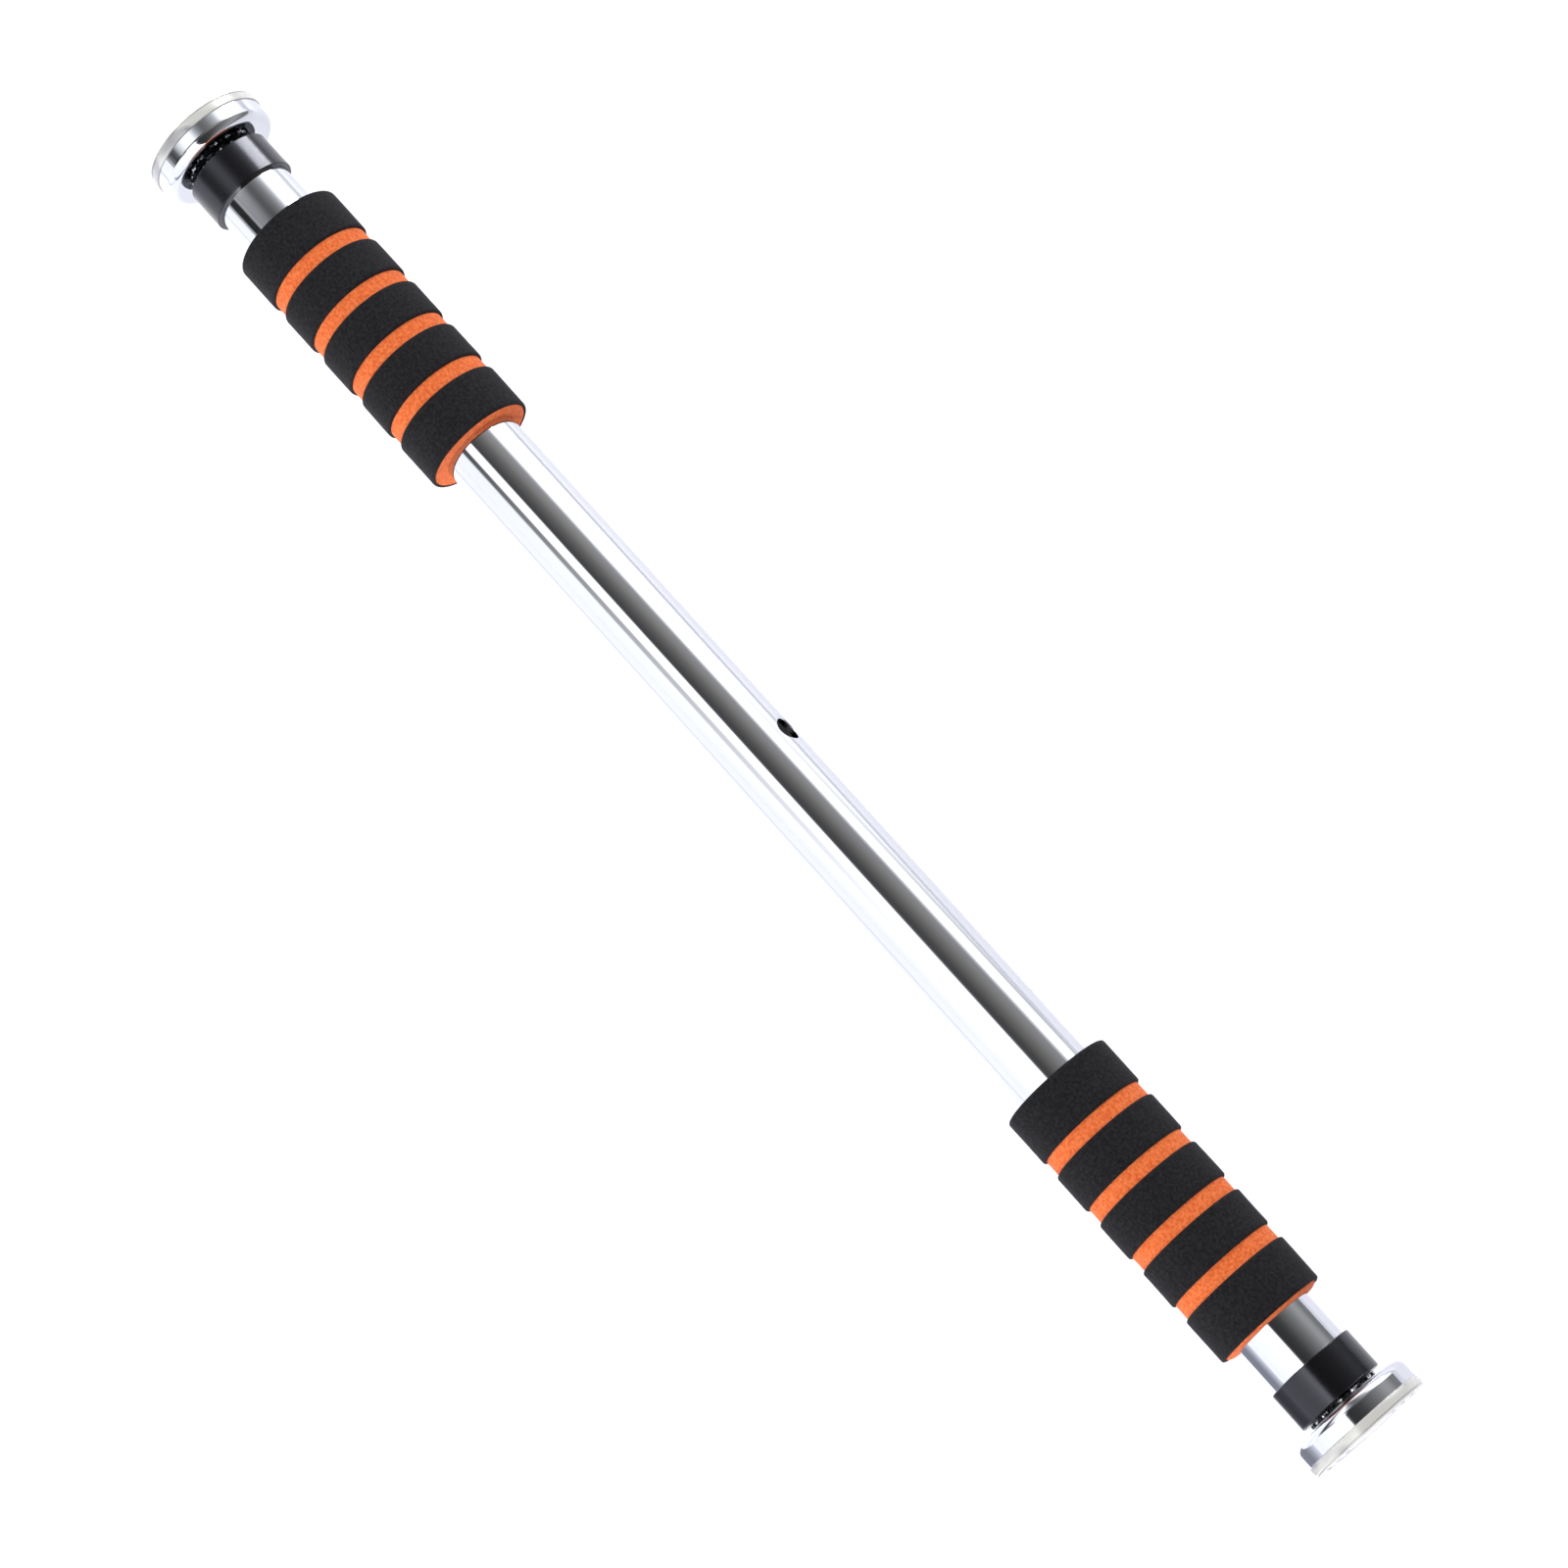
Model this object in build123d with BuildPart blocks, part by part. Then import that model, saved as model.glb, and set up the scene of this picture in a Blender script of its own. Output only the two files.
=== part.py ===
"""Screw-tightened doorway pull up bar: one chromed tube, a screw foot at each end, two foam grips.

Frame: origin at the middle of the bar on its axis, +X along the bar to the right-hand foot, +Z up.
All sizes are in millimetres. Stations along the bar are distances from the middle, called "at".
"""

import os
from math import cos, radians, sin

from build123d import *

os.makedirs("parts", exist_ok=True)

# ---- driving dimensions -------------------------------------------------------------------------

# main tube
tube_outer_radius = 16.0
tube_wall = 1.5
tube_half_length = 312.5
tommy_hole_radius = 5.0
tommy_hole_tilt = 56.0  # degrees from +Z towards +Y

# collars on the tube's ends
collar_length = 16.6
collar_wall = 1.95
collar_end_wall = 3.6
collar_edge = 0.8

# nuts and their pins
nut_length = 28.0
pin_radius = 2.0
pin_depth_in_nut = 4.0
pin_from_tube_end = 6.0

# screw spindles
spindle_radius = 8.0
spindle_length = 120.5
spindle_end_chamfer = 1.0
journal_radius = 6.0
tenon_radius = 5.0
tenon_short_of_plate = 0.2

# lock rings on the spindles, outside the collars
lock_ring_radius = 15.0
lock_ring_thickness = 1.4
lock_ring_from_collar = 0.3

# guides inside the tube
guide_length = 8.0
guide_washer_radius = 10.0
guide_washer_thickness = 1.5
guide_screw_radius = 3.0
guide_screw_grip = 14.0
guide_head_radius = 5.0
guide_head_height = 3.5

# feet: pressed cup and rubber pad
gap_collar_to_cup = 2.8
cup_radius = 25.0
cup_depth = 8.6
cup_sheet = 1.5
cup_shoulder = 3.4
pad_overlap = 0.6
pad_lip = 4.2
pad_edge = 0.9
pad_grooves = 3
pad_groove_width = 1.6
pad_groove_depth = 0.8
pad_flat_radius = 9.0
cup_washer_radius = 12.0
cup_washer_thickness = 1.6
cup_screw_radius = 4.0
cup_screw_grip = 18.0
cup_head_across_flats = 13.0
cup_head_height = 5.0

# foam grips
grip_length = 115.6
grip_from_collar = 20.3
grip_foam = 6.05
grip_skin = 1.2
grip_core_overhang = 0.9
grip_bands = 5
grip_groove_width = 6.4

# clearances
spindle_running_gap = 0.05
guide_running_gap = 0.05
journal_running_gap = 0.05
guide_end_play = 0.1
collar_hole_gap = 0.6
washer_hole_gap = 0.2
screw_tip_gap = 2.0
pad_pocket_gap = 0.5

# ---- sizes that follow --------------------------------------------------------------------------

tube_inner_radius = tube_outer_radius - tube_wall

collar_outer_at = tube_half_length + collar_end_wall
collar_inner_at = collar_outer_at - collar_length
collar_radius = tube_outer_radius + collar_wall
nut_inner_at = tube_half_length - nut_length
pin_at = tube_half_length - pin_from_tube_end
pin_foot_radius = tube_inner_radius - pin_depth_in_nut

cup_back_at = collar_outer_at + gap_collar_to_cup
cup_floor_at = cup_back_at + cup_sheet
cup_rim_at = cup_back_at + cup_depth
cup_inner_radius = cup_radius - cup_sheet
cup_inner_shoulder = cup_shoulder - cup_sheet
cup_washer_outer_at = cup_floor_at + cup_washer_thickness
cup_head_top_at = cup_washer_outer_at + cup_head_height
pad_radius = cup_radius + pad_overlap
pad_face_at = cup_rim_at + pad_lip
pad_pocket_at = cup_head_top_at + pad_pocket_gap
pad_pocket_radius = cup_washer_radius + pad_pocket_gap
pad_groove_pitch = (pad_radius - pad_edge - pad_flat_radius) / (pad_grooves + 0.5)

spindle_inner_at = cup_back_at - spindle_length
lock_ring_at = collar_outer_at + lock_ring_from_collar
journal_length = guide_length + 2 * guide_end_play
journal_outer_at = spindle_inner_at + journal_length
guide_inner_at = spindle_inner_at + guide_end_play
guide_outer_at = guide_inner_at + guide_length
guide_head_at = spindle_inner_at - guide_washer_thickness

grip_end = collar_inner_at - grip_from_collar
grip_start = grip_end - grip_length
grip_core_radius = tube_outer_radius + grip_foam
grip_radius = grip_core_radius + grip_skin
band_pitch = grip_length / grip_bands
band_edge_gap = grip_groove_width / 2

sides = {"left": -1, "right": 1}


def mirrored(sign, points):
    """Profile points (at, radius) on the chosen side of the bar's middle."""
    return [(sign * at, radius) for at, radius in points]


def ring_points(sign, start, end, inner, outer):
    """Corners of a plain ring's half section, from station start to end."""
    return mirrored(sign, [(start, inner), (end, inner), (end, outer), (start, outer)])


def rod_points(sign, start, end, outer):
    """Corners of a plain rod's half section, which reaches down to the bar's axis."""
    return ring_points(sign, start, end, 0, outer)


# ---- main tube ----------------------------------------------------------------------------------

tommy_direction = (0, sin(radians(tommy_hole_tilt)), cos(radians(tommy_hole_tilt)))
tommy_plane = Plane(origin=(0, 0, 0), x_dir=(1, 0, 0), z_dir=tommy_direction)

# The two pin holes near each end of the tube lie on the Z axis, under the collars.
with BuildPart() as main_tube:
    with BuildSketch(Plane.YZ):
        Circle(tube_outer_radius)
        Circle(tube_inner_radius, mode=Mode.SUBTRACT)
    extrude(amount=tube_half_length, both=True)
    with BuildSketch(tommy_plane):
        Circle(tommy_hole_radius)
    extrude(amount=tube_outer_radius, both=True, mode=Mode.SUBTRACT)
    with BuildSketch(Plane.XY):
        with Locations((-pin_at, 0), (pin_at, 0)):
            Circle(pin_radius)
    extrude(amount=tube_outer_radius, both=True, mode=Mode.SUBTRACT)

main_tube.part.label = "main_tube"
export_step(main_tube.part, "parts/main_tube.step")

for side, sign in sides.items():
    # ---- collar: a moulded cap pushed over the tube's end, with a hole for the spindle ----------
    with BuildPart() as collar:
        with BuildSketch(Plane.XZ):
            with BuildLine():
                Polyline(
                    mirrored(
                        sign,
                        [
                            (collar_inner_at, tube_outer_radius),
                            (tube_half_length, tube_outer_radius),
                            (tube_half_length, spindle_radius + collar_hole_gap),
                            (collar_outer_at, spindle_radius + collar_hole_gap),
                            (collar_outer_at, collar_radius),
                            (collar_inner_at, collar_radius),
                        ],
                    ),
                    close=True,
                )
            make_face()
        revolve(axis=Axis.X)
        rims = collar.edges().filter_by(GeomType.CIRCLE)
        fillet(rims.filter_by(lambda edge: edge.radius > collar_radius - 0.01), collar_edge)
    collar.part.label = f"{side}_collar"
    export_step(collar.part, f"parts/{side}_collar.step")

    # ---- nut: a turned steel bush inside the tube's end, drilled for its two pins ---------------
    with BuildPart() as nut:
        with BuildSketch(Plane.XZ):
            with BuildLine():
                Polyline(
                    ring_points(
                        sign,
                        nut_inner_at,
                        tube_half_length,
                        spindle_radius + spindle_running_gap,
                        tube_inner_radius,
                    ),
                    close=True,
                )
            make_face()
        revolve(axis=Axis.X)
        with BuildSketch(Plane.XY.offset(pin_foot_radius)):
            with Locations((sign * pin_at, 0)):
                Circle(pin_radius)
        extrude(amount=tube_outer_radius, mode=Mode.SUBTRACT)
        with BuildSketch(Plane.XY.offset(-pin_foot_radius)):
            with Locations((sign * pin_at, 0)):
                Circle(pin_radius)
        extrude(amount=-tube_outer_radius, mode=Mode.SUBTRACT)
    nut.part.label = f"{side}_nut"
    export_step(nut.part, f"parts/{side}_nut.step")

    # ---- nut pins: two pins through the tube's wall into the nut, flush with the tube -----------
    with BuildPart() as nut_pins:
        with BuildSketch(Plane.XY.offset(pin_foot_radius)):
            with Locations((sign * pin_at, 0)):
                Circle(pin_radius)
        extrude(amount=tube_outer_radius - pin_foot_radius)
        with BuildSketch(Plane.XY.offset(-pin_foot_radius)):
            with Locations((sign * pin_at, 0)):
                Circle(pin_radius)
        extrude(amount=pin_foot_radius - tube_outer_radius)
        with BuildSketch(Plane.YZ):
            Circle(tube_outer_radius)
        extrude(amount=tube_half_length, both=True, mode=Mode.INTERSECT)
    nut_pins.part.label = f"{side}_nut_pins"
    export_step(nut_pins.part, f"parts/{side}_nut_pins.step")

    # ---- spindle: screw rod with a journal at its inner end and a tenon at its outer end --------
    with BuildPart() as spindle:
        with BuildSketch(Plane.XZ):
            with BuildLine():
                Polyline(
                    mirrored(
                        sign,
                        [
                            (spindle_inner_at, 0),
                            (spindle_inner_at, journal_radius),
                            (journal_outer_at, journal_radius),
                            (journal_outer_at, spindle_radius - spindle_end_chamfer),
                            (journal_outer_at + spindle_end_chamfer, spindle_radius),
                            (cup_back_at, spindle_radius),
                            (cup_back_at, tenon_radius),
                            (cup_floor_at - tenon_short_of_plate, tenon_radius),
                            (cup_floor_at - tenon_short_of_plate, 0),
                        ],
                    ),
                    close=True,
                )
            make_face()
        revolve(axis=Axis.X)
        with BuildSketch(Plane.XZ):
            with BuildLine():
                Polyline(
                    rod_points(
                        sign,
                        spindle_inner_at,
                        spindle_inner_at + guide_screw_grip + screw_tip_gap,
                        guide_screw_radius,
                    ),
                    close=True,
                )
            make_face()
            with BuildLine():
                Polyline(
                    rod_points(
                        sign,
                        cup_floor_at - cup_screw_grip - screw_tip_gap,
                        cup_floor_at,
                        cup_screw_radius,
                    ),
                    close=True,
                )
            make_face()
        revolve(axis=Axis.X, mode=Mode.SUBTRACT)
    spindle.part.label = f"{side}_spindle"
    export_step(spindle.part, f"parts/{side}_spindle.step")

    # ---- lock ring: a thin round nut on the spindle, turned against the collar to lock the foot --
    with BuildPart() as lock_ring:
        with BuildSketch(Plane.XZ):
            with BuildLine():
                Polyline(
                    ring_points(
                        sign,
                        lock_ring_at,
                        lock_ring_at + lock_ring_thickness,
                        spindle_radius + spindle_running_gap,
                        lock_ring_radius,
                    ),
                    close=True,
                )
            make_face()
        revolve(axis=Axis.X)
    lock_ring.part.label = f"{side}_lock_ring"
    export_step(lock_ring.part, f"parts/{side}_lock_ring.step")

    # ---- guide: a nylon plug that slides in the tube and turns on the spindle's journal ---------
    with BuildPart() as guide:
        with BuildSketch(Plane.XZ):
            with BuildLine():
                Polyline(
                    ring_points(
                        sign,
                        guide_inner_at,
                        guide_outer_at,
                        journal_radius + journal_running_gap,
                        tube_inner_radius - guide_running_gap,
                    ),
                    close=True,
                )
            make_face()
        revolve(axis=Axis.X)
    guide.part.label = f"{side}_guide"
    export_step(guide.part, f"parts/{side}_guide.step")

    # ---- guide washer and screw: they keep the guide on the spindle's inner end -----------------
    with BuildPart() as guide_washer:
        with BuildSketch(Plane.XZ):
            with BuildLine():
                Polyline(
                    ring_points(
                        sign,
                        guide_head_at,
                        spindle_inner_at,
                        guide_screw_radius + washer_hole_gap,
                        guide_washer_radius,
                    ),
                    close=True,
                )
            make_face()
        revolve(axis=Axis.X)
    guide_washer.part.label = f"{side}_guide_washer"
    export_step(guide_washer.part, f"parts/{side}_guide_washer.step")

    with BuildPart() as guide_screw:
        with BuildSketch(Plane.XZ):
            with BuildLine():
                Polyline(
                    mirrored(
                        sign,
                        [
                            (guide_head_at - guide_head_height, 0),
                            (guide_head_at - guide_head_height, guide_head_radius),
                            (guide_head_at, guide_head_radius),
                            (guide_head_at, guide_screw_radius),
                            (spindle_inner_at + guide_screw_grip, guide_screw_radius),
                            (spindle_inner_at + guide_screw_grip, 0),
                        ],
                    ),
                    close=True,
                )
            make_face()
        revolve(axis=Axis.X)
        socket_face = Plane(
            origin=(sign * (guide_head_at - guide_head_height), 0, 0),
            x_dir=(0, 1, 0),
            z_dir=(sign, 0, 0),
        )
        with BuildSketch(socket_face):
            RegularPolygon(guide_head_radius / 2, 6)
        extrude(amount=guide_head_height / 2, mode=Mode.SUBTRACT)
    guide_screw.part.label = f"{side}_guide_screw"
    export_step(guide_screw.part, f"parts/{side}_guide_screw.step")

    # ---- cup: a pressed steel dish, open away from the tube, with a hole for the tenon ----------
    with BuildPart() as cup:
        with BuildSketch(Plane.XZ):
            with BuildLine():
                Polyline(
                    mirrored(
                        sign,
                        [
                            (cup_back_at + cup_shoulder, cup_radius),
                            (cup_rim_at, cup_radius),
                            (cup_rim_at, cup_inner_radius),
                            (cup_floor_at + cup_inner_shoulder, cup_inner_radius),
                        ],
                    )
                )
                Polyline(
                    mirrored(
                        sign,
                        [
                            (cup_floor_at, cup_inner_radius - cup_inner_shoulder),
                            (cup_floor_at, tenon_radius),
                            (cup_back_at, tenon_radius),
                            (cup_back_at, cup_radius - cup_shoulder),
                        ],
                    )
                )
                RadiusArc(
                    (sign * (cup_floor_at + cup_inner_shoulder), cup_inner_radius),
                    (sign * cup_floor_at, cup_inner_radius - cup_inner_shoulder),
                    sign * cup_inner_shoulder,
                )
                RadiusArc(
                    (sign * (cup_back_at + cup_shoulder), cup_radius),
                    (sign * cup_back_at, cup_radius - cup_shoulder),
                    sign * cup_shoulder,
                )
            make_face()
        revolve(axis=Axis.X)
    cup.part.label = f"{side}_cup"
    export_step(cup.part, f"parts/{side}_cup.step")

    # ---- cup washer and screw: they clamp the cup's floor to the spindle's shoulder -------------
    with BuildPart() as cup_washer:
        with BuildSketch(Plane.XZ):
            with BuildLine():
                Polyline(
                    ring_points(
                        sign,
                        cup_floor_at,
                        cup_washer_outer_at,
                        cup_screw_radius + washer_hole_gap,
                        cup_washer_radius,
                    ),
                    close=True,
                )
            make_face()
        revolve(axis=Axis.X)
    cup_washer.part.label = f"{side}_cup_washer"
    export_step(cup_washer.part, f"parts/{side}_cup_washer.step")

    with BuildPart() as cup_screw:
        with BuildSketch(Plane.XZ):
            with BuildLine():
                Polyline(
                    rod_points(
                        sign,
                        cup_floor_at - cup_screw_grip,
                        cup_washer_outer_at,
                        cup_screw_radius,
                    ),
                    close=True,
                )
            make_face()
        revolve(axis=Axis.X)
        head_seat = Plane(
            origin=(sign * cup_washer_outer_at, 0, 0),
            x_dir=(0, 1, 0),
            z_dir=(sign, 0, 0),
        )
        with BuildSketch(head_seat):
            RegularPolygon(cup_head_across_flats / 2, 6, major_radius=False)
        extrude(amount=cup_head_height)
    cup_screw.part.label = f"{side}_cup_screw"
    export_step(cup_screw.part, f"parts/{side}_cup_screw.step")

    # ---- pad: rubber disc that fills the cup, laps over its rim and grips the door frame --------
    with BuildPart() as pad:
        with BuildSketch(Plane.XZ):
            with BuildLine():
                Polyline(
                    mirrored(
                        sign,
                        [
                            (cup_floor_at, cup_inner_radius - cup_inner_shoulder),
                            (cup_floor_at, pad_pocket_radius),
                            (pad_pocket_at, pad_pocket_radius),
                            (pad_pocket_at, 0),
                            (pad_face_at, 0),
                            (pad_face_at, pad_radius),
                            (cup_rim_at, pad_radius),
                            (cup_rim_at, cup_inner_radius),
                            (cup_floor_at + cup_inner_shoulder, cup_inner_radius),
                        ],
                    )
                )
                RadiusArc(
                    (sign * (cup_floor_at + cup_inner_shoulder), cup_inner_radius),
                    (sign * cup_floor_at, cup_inner_radius - cup_inner_shoulder),
                    sign * cup_inner_shoulder,
                )
            make_face()
        revolve(axis=Axis.X)
        rims = pad.edges().filter_by(GeomType.CIRCLE)
        fillet(rims.filter_by(lambda edge: edge.radius > pad_radius - 0.01), pad_edge)
        with BuildSketch(Plane.YZ.offset(sign * pad_face_at)):
            for groove in range(pad_grooves):
                groove_radius = pad_flat_radius + (groove + 0.5) * pad_groove_pitch
                Circle(groove_radius + pad_groove_width / 2)
                Circle(groove_radius - pad_groove_width / 2, mode=Mode.SUBTRACT)
        extrude(amount=-sign * pad_groove_depth, mode=Mode.SUBTRACT)
    pad.part.label = f"{side}_pad"
    export_step(pad.part, f"parts/{side}_pad.step")

    # ---- grip: an inner foam sleeve with five outer foam bands, grooves between them ------------
    with BuildPart() as grip_core:
        with BuildSketch(Plane.XZ):
            with BuildLine():
                Polyline(
                    ring_points(
                        sign,
                        grip_start,
                        grip_end + grip_core_overhang,
                        tube_outer_radius,
                        grip_core_radius,
                    ),
                    close=True,
                )
            make_face()
        revolve(axis=Axis.X)
    grip_core.part.label = f"{side}_grip_core"
    export_step(grip_core.part, f"parts/{side}_grip_core.step")

    for band in range(grip_bands):
        band_start = grip_start + band * band_pitch
        band_end = band_start + band_pitch
        if band > 0:
            band_start += band_edge_gap
        if band < grip_bands - 1:
            band_end -= band_edge_gap
        with BuildPart() as grip_band:
            with BuildSketch(Plane.XZ):
                with BuildLine():
                    Polyline(
                        ring_points(sign, band_start, band_end, grip_core_radius, grip_radius),
                        close=True,
                    )
                make_face()
            revolve(axis=Axis.X)
        grip_band.part.label = f"{side}_grip_band_{band + 1}"
        export_step(grip_band.part, f"parts/{side}_grip_band_{band + 1}.step")

print(f"overall length {2 * pad_face_at:.1f} mm, pad diameter {2 * pad_radius:.1f} mm")
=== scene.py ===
# %% [markdown]
# # A screw-tightened doorway pull up bar
#
# The bar is one chromed tube with two foam grips, a moulded collar on each end, and two screw feet that press
# rubber pads against a door frame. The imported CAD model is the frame: it says where each piece is, how big it
# is and how it moves. This notebook gives every visible piece a finer mesh in the same place and a finish of
# its own, and leaves the hidden fasteners as they are, with better materials.

import bmesh
import bpy
import numpy as np
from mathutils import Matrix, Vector


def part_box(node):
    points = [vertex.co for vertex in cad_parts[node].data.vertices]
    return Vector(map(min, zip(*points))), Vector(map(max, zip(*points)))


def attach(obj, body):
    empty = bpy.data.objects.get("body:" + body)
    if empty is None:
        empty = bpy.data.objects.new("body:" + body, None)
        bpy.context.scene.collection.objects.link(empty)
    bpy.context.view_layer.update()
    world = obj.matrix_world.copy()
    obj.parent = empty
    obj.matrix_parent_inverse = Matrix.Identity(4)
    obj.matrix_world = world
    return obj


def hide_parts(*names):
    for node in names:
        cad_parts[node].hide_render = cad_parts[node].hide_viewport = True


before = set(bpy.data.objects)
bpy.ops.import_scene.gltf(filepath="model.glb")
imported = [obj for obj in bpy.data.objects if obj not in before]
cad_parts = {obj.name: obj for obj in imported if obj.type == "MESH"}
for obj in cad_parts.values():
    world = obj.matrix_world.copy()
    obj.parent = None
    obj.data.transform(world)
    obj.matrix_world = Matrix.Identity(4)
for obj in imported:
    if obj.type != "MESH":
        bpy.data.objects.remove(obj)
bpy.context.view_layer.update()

# %% [markdown]
# ## Sizes
#
# The places and outer sizes come from the boxes of the CAD nodes. The bar lies along X and its two ends are
# mirror images, so a place on it is given as a distance from the middle, called a station, and a sign: -1 for
# the left end and +1 for the right end. A turned piece is then a profile of stations and radii.

# %% Read sizes from the CAD nodes
MM = 0.001
SIDES = {"left": -1, "right": 1}


def station_span(node):
    """The stations where a node starts and ends, nearest the middle first, and its greatest radius."""
    low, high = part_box(node)
    start, end = sorted((abs(low.x), abs(high.x)))
    return start, end, high.z


tube_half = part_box("main_tube")[1].x
tube_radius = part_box("main_tube")[1].z
tube_wall = 1.5 * MM
tommy_radius = 5 * MM
tommy_tilt = np.radians(56)
print(f"tube: {2 * tube_half / MM:.0f} mm long, {2 * tube_radius / MM:.0f} mm across")

# %% [markdown]
# ## The camera
#
# A product picture of a long thin object is taken from well above it with a long lens, and the camera is
# turned so that the object runs from corner to corner. Azimuth and elevation give the direction that the
# camera looks from, and the distance and the lens give how strongly the near end grows.

# %% Place the camera
camera_azimuth = np.radians(49.17)
camera_elevation = np.radians(72.98)
camera_distance = 1.6907
camera_lens = 104.7
camera_aim = Vector((0.0133, -0.0006, 0.0))

sight = Vector(
    (
        -np.sin(camera_azimuth) * np.cos(camera_elevation),
        np.cos(camera_azimuth) * np.cos(camera_elevation),
        -np.sin(camera_elevation),
    )
)
camera_data = bpy.data.cameras.new("studio_camera")
camera_data.sensor_width = 36
camera_data.lens = camera_lens
camera_data.clip_end = 100
camera = bpy.data.objects.new("studio_camera", camera_data)
bpy.context.scene.collection.objects.link(camera)
camera.location = camera_aim - sight * camera_distance
camera.rotation_euler = sight.to_track_quat("-Z", "Y").to_euler()
bpy.context.scene.camera = camera
bpy.context.scene.view_settings.view_transform = "Standard"
print("camera at", [round(v, 3) for v in camera.location])

# %% [markdown]
# ## Helpers for materials
#
# Colours are written as the hex values that a colour picker shows, and Blender's sockets want linear light,
# so one function turns the first into the second. One more function adds a node: its settings are properties
# of the node, and its inputs are either values or the outputs of other nodes.


# %% Colour and node helpers
MIX_A, MIX_B, MIX_RESULT = 6, 7, 2  # a colour Mix node's own sockets, by number


def linear(hex_colour, alpha=1.0):
    """Each sRGB channel c becomes c / 12.92 up to 0.04045, and ((c + 0.055) / 1.055) ** 2.4 above it."""
    c = np.array([int(hex_colour[i : i + 2], 16) for i in (1, 3, 5)]) / 255
    c = np.where(c <= 0.04045, c / 12.92, ((c + 0.055) / 1.055) ** 2.4)
    return (*c.tolist(), alpha)


def add_node(tree, kind, inputs=None, **settings):
    """Adds one node to a tree, with its settings, its values and its links, and returns it."""
    node = tree.nodes.new(kind)
    for name, value in settings.items():
        setattr(node, name, value)
    for socket, value in (inputs or {}).items():
        if isinstance(value, bpy.types.NodeSocket):
            tree.links.new(value, node.inputs[socket])
        else:
            node.inputs[socket].default_value = value
    return node


def new_material(name):
    """An empty material: returns the material, its tree and its output node's surface socket."""
    material = bpy.data.materials.new(name)
    material.use_nodes = True
    material.node_tree.nodes.clear()
    output = add_node(material.node_tree, "ShaderNodeOutputMaterial")
    return material, material.node_tree, output.inputs["Surface"]


def grain(tree, size, detail=2.0, stretch=(1, 1, 1)):
    """A noise pattern on Object coordinates whose blobs are about size across, pulled out along an axis by
    stretch. Noise of scale 1 has blobs about half a metre across, so the scale is 0.5 over the size."""
    coordinates = add_node(tree, "ShaderNodeTexCoord").outputs["Object"]
    pulled = add_node(
        tree, "ShaderNodeMapping", {"Vector": coordinates, "Scale": [1 / s for s in stretch]}
    ).outputs["Vector"]
    noise = add_node(
        tree, "ShaderNodeTexNoise", {"Vector": pulled, "Scale": 0.5 / size, "Detail": detail}
    )
    return noise.outputs["Fac"]


print("middle grey as linear light:", [round(c, 3) for c in linear("#808080")[:3]])

# %% [markdown]
# ## The studio
#
# Chrome shows its surroundings and almost nothing of itself, so the studio is half of its finish. Such bars
# are pictured inside a white tent with a slot in its roof for the camera: the white walls give the bright
# strips along the tube, and the slot gives the dark band between them. Here the world holds the tent. The
# angle around the bar's own axis decides what a strip of the tube sees, because the tube is straight: it is
# measured from straight up, and grows towards -Y. How far a direction leans along the bar decides which panel
# of the tent it meets, so the two ends and the middle differ a little. The camera itself sees plain white.


# %% Build the studio's tent
def tent_panel(tree, angle, stops):
    """Light over the angle around the bar: stops are (degrees, light, blue share), from -180 to 180."""
    place = add_node(
        tree,
        "ShaderNodeMapRange",
        {"Value": angle, "From Min": -np.pi, "From Max": np.pi, "To Min": 0, "To Max": 1},
    ).outputs["Result"]
    ramp = add_node(tree, "ShaderNodeValToRGB", {"Fac": place})
    elements = ramp.color_ramp.elements
    elements.remove(elements[1])
    for degrees, light, blue in stops:
        element = elements.new((degrees + 180) / 360)
        share = light / tent_light
        element.color = (share * (1 - blue), share * (1 - 0.6 * blue), share, 1)
    elements.remove(elements[0])
    return ramp.outputs["Color"]


tent_light = 3.6
MIDDLE_PANEL = [
    (-100, 1.8, 0.02),
    (-88, 1.8, 0.01),
    (-60, 2.0, 0.01),
    (-40, 2.1, 0.0),
    (-36.5, 1.0, 0.02),
    (-31, 0.43, 0.02),
    (-22, 0.34, -0.03),
    (-13, 0.265, -0.09),
    (-5, 0.19, -0.09),
    (4, 0.145, -0.05),
    (12, 0.11, -0.02),
    (20, 0.08, 0.0),
    (24.5, 0.08, 0.03),
    (26.5, 0.5, 0.02),
    (28, 2.1, 0.0),
    (47, 1.9, 0.0),
    (49, 0.4, 0.04),
    (51, 0.02, 0.08),
    (59.5, 0.02, 0.08),
    (61.5, 0.6, 0.03),
    (64.5, 1.4, 0.04),
    (90, 1.45, 0.04),
]
NEAR_RIGHT_PANEL = [
    (-100, 1.4, 0.05),
    (-80, 1.5, 0.04),
    (-68.5, 1.1, 0.04),
    (-65, 0.66, 0.02),
    (-60.5, 0.95, 0.02),
    (-57.5, 2.0, 0.02),
    (-40, 2.1, 0.0),
    (-36.5, 0.9, 0.02),
    (-31, 0.36, 0.02),
    (-22, 0.3, -0.03),
    (-13, 0.225, -0.08),
    (-6, 0.175, -0.11),
    (2, 0.13, -0.08),
    (12, 0.085, -0.04),
    (20, 0.08, 0.03),
    (24, 0.12, 0.03),
    (26.5, 0.5, 0.02),
    (28.5, 2.1, 0.0),
    (58, 1.8, 0.01),
    (90, 1.45, 0.04),
]
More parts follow.
